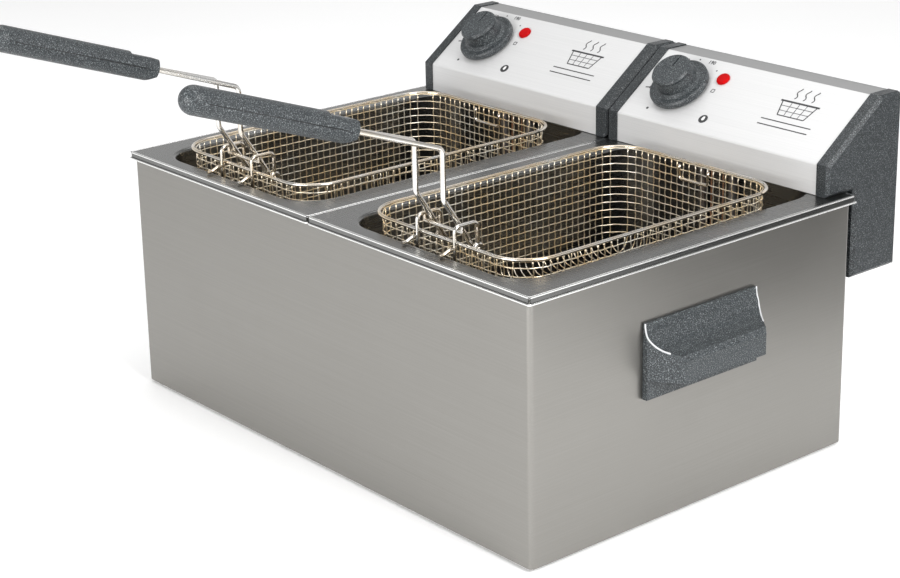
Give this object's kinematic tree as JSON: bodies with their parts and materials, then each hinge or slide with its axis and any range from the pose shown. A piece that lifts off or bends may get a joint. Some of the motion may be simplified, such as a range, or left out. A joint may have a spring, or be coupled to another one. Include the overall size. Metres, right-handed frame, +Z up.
{
  "type": "deep fryer",
  "caption": "Twin countertop deep fryer: steel housing, lift-out oil pans, wire baskets with folding handles and lift-off control heads with knobs and heating elements.",
  "frame": {"origin": "on the supporting surface, under the centre of the whole fryer's outline from the handle tips to the cord inlets", "axes": "+X along the front, +Y from the front to the control heads, +Z up"},
  "size_m": [0.6, 0.6474, 0.3984],
  "materials": {
    "housing_steel": "brushed",
    "base_steel": "mill",
    "pan_steel": "satin",
    "panel_steel": "fine brushed",
    "head_steel": "satin",
    "basket_wire": "bright",
    "speckled_plastic": "speckled satin",
    "steel_fixing": "plain",
    "element_steel": "dull",
    "copper_bulb": "plain",
    "black_thermoset": "moulded",
    "white_thermoset": "moulded",
    "red_lens": "clear gloss",
    "red_button": "gloss",
    "foot_rubber": "moulded"
  },
  "bodies": {
    "housing": {"housing_shell": "housing_steel", "base_plate": "base_steel", "rubber_feet": "foot_rubber", "centre_beam": "base_steel", "left_side_handle": "speckled_plastic", "right_side_handle": "speckled_plastic", "grip_screws": "steel_fixing"},
    "left_pan": {"left_oil_pan": "pan_steel"},
    "left_head": {"left_head_left_cheek": "speckled_plastic", "left_head_right_cheek": "speckled_plastic", "left_control_panel": "panel_steel", "left_head_base": "head_steel", "left_rear_cover": "head_steel", "left_cover_screws": "steel_fixing", "left_heating_element": "element_steel", "left_element_block": "steel_fixing", "left_sensor_bulbs": "copper_bulb", "left_bulb_saddles": "steel_fixing", "left_thermostat": "black_thermoset", "left_lamp_lens": "red_lens", "left_lamp_holder": "black_thermoset", "left_safety_cutout": "black_thermoset", "left_cord_gland": "black_thermoset", "left_terminal_block": "white_thermoset", "left_seat_switch": "black_thermoset"},
    "left_knob_set": {"left_knob": "speckled_plastic", "left_knob_shaft": "steel_fixing"},
    "left_reset": {"left_reset_button": "red_button"},
    "left_basket": {"left_basket_mesh": "basket_wire", "left_basket_rim": "basket_wire", "left_basket_bracket": "basket_wire"},
    "left_handle": {"left_handle_wire": "basket_wire", "left_handle_grip": "speckled_plastic"},
    "right_pan": {"right_oil_pan": "pan_steel"},
    "right_head": {"right_head_left_cheek": "speckled_plastic", "right_head_right_cheek": "speckled_plastic", "right_control_panel": "panel_steel", "right_head_base": "head_steel", "right_rear_cover": "head_steel", "right_cover_screws": "steel_fixing", "right_heating_element": "element_steel", "right_element_block": "steel_fixing", "right_sensor_bulbs": "copper_bulb", "right_bulb_saddles": "steel_fixing", "right_thermostat": "black_thermoset", "right_lamp_lens": "red_lens", "right_lamp_holder": "black_thermoset", "right_safety_cutout": "black_thermoset", "right_cord_gland": "black_thermoset", "right_terminal_block": "white_thermoset", "right_seat_switch": "black_thermoset"},
    "right_knob_set": {"right_knob": "speckled_plastic", "right_knob_shaft": "steel_fixing"},
    "right_reset": {"right_reset_button": "red_button"},
    "right_basket": {"right_basket_mesh": "basket_wire", "right_basket_rim": "basket_wire", "right_basket_bracket": "basket_wire"},
    "right_handle": {"right_handle_wire": "basket_wire", "right_handle_grip": "speckled_plastic"}
  },
  "joints": [
    {"name": "left_pan_lift", "type": "slide", "parent": "housing", "child": "left_pan", "axis": [0, 0, 1], "range_m": [0, 0.18]},
    {"name": "left_head_lift", "type": "slide", "parent": "left_pan", "child": "left_head", "axis": [0, 0, 1], "range_m": [0, 0.165]},
    {"name": "left_basket_lift", "type": "slide", "parent": "left_head", "child": "left_basket", "axis": [0, 0, 1], "range_m": [0, 0.12]},
    {"name": "left_handle_fold", "type": "hinge", "parent": "left_basket", "child": "left_handle", "pos_m": [-0.1365, -0.07085, 0.227], "axis": [-1, 0, 0], "range_deg": [0, 120]},
    {"name": "left_knob_turn", "type": "hinge", "parent": "left_head", "child": "left_knob_set", "pos_m": [-0.2046, 0.26035, 0.28157], "axis": [0, 0.5878, -0.809], "range_deg": [0, 270]},
    {"name": "left_reset_press", "type": "slide", "parent": "left_head", "child": "left_reset", "axis": [0, -1, 0], "range_m": [0, 0.003], "stiffness_N_per_m": 500},
    {"name": "right_pan_lift", "type": "slide", "parent": "housing", "child": "right_pan", "axis": [0, 0, 1], "range_m": [0, 0.18]},
    {"name": "right_head_lift", "type": "slide", "parent": "right_pan", "child": "right_head", "axis": [0, 0, 1], "range_m": [0, 0.165]},
    {"name": "right_basket_lift", "type": "slide", "parent": "right_head", "child": "right_basket", "axis": [0, 0, 1], "range_m": [0, 0.12]},
    {"name": "right_handle_fold", "type": "hinge", "parent": "right_basket", "child": "right_handle", "pos_m": [0.1365, -0.07085, 0.227], "axis": [-1, 0, 0], "range_deg": [0, 120]},
    {"name": "right_knob_turn", "type": "hinge", "parent": "right_head", "child": "right_knob_set", "pos_m": [0.0606, 0.26035, 0.28157], "axis": [0, 0.5878, -0.809], "range_deg": [0, 270]},
    {"name": "right_reset_press", "type": "slide", "parent": "right_head", "child": "right_reset", "axis": [0, -1, 0], "range_m": [0, 0.003], "stiffness_N_per_m": 500}
  ]
}
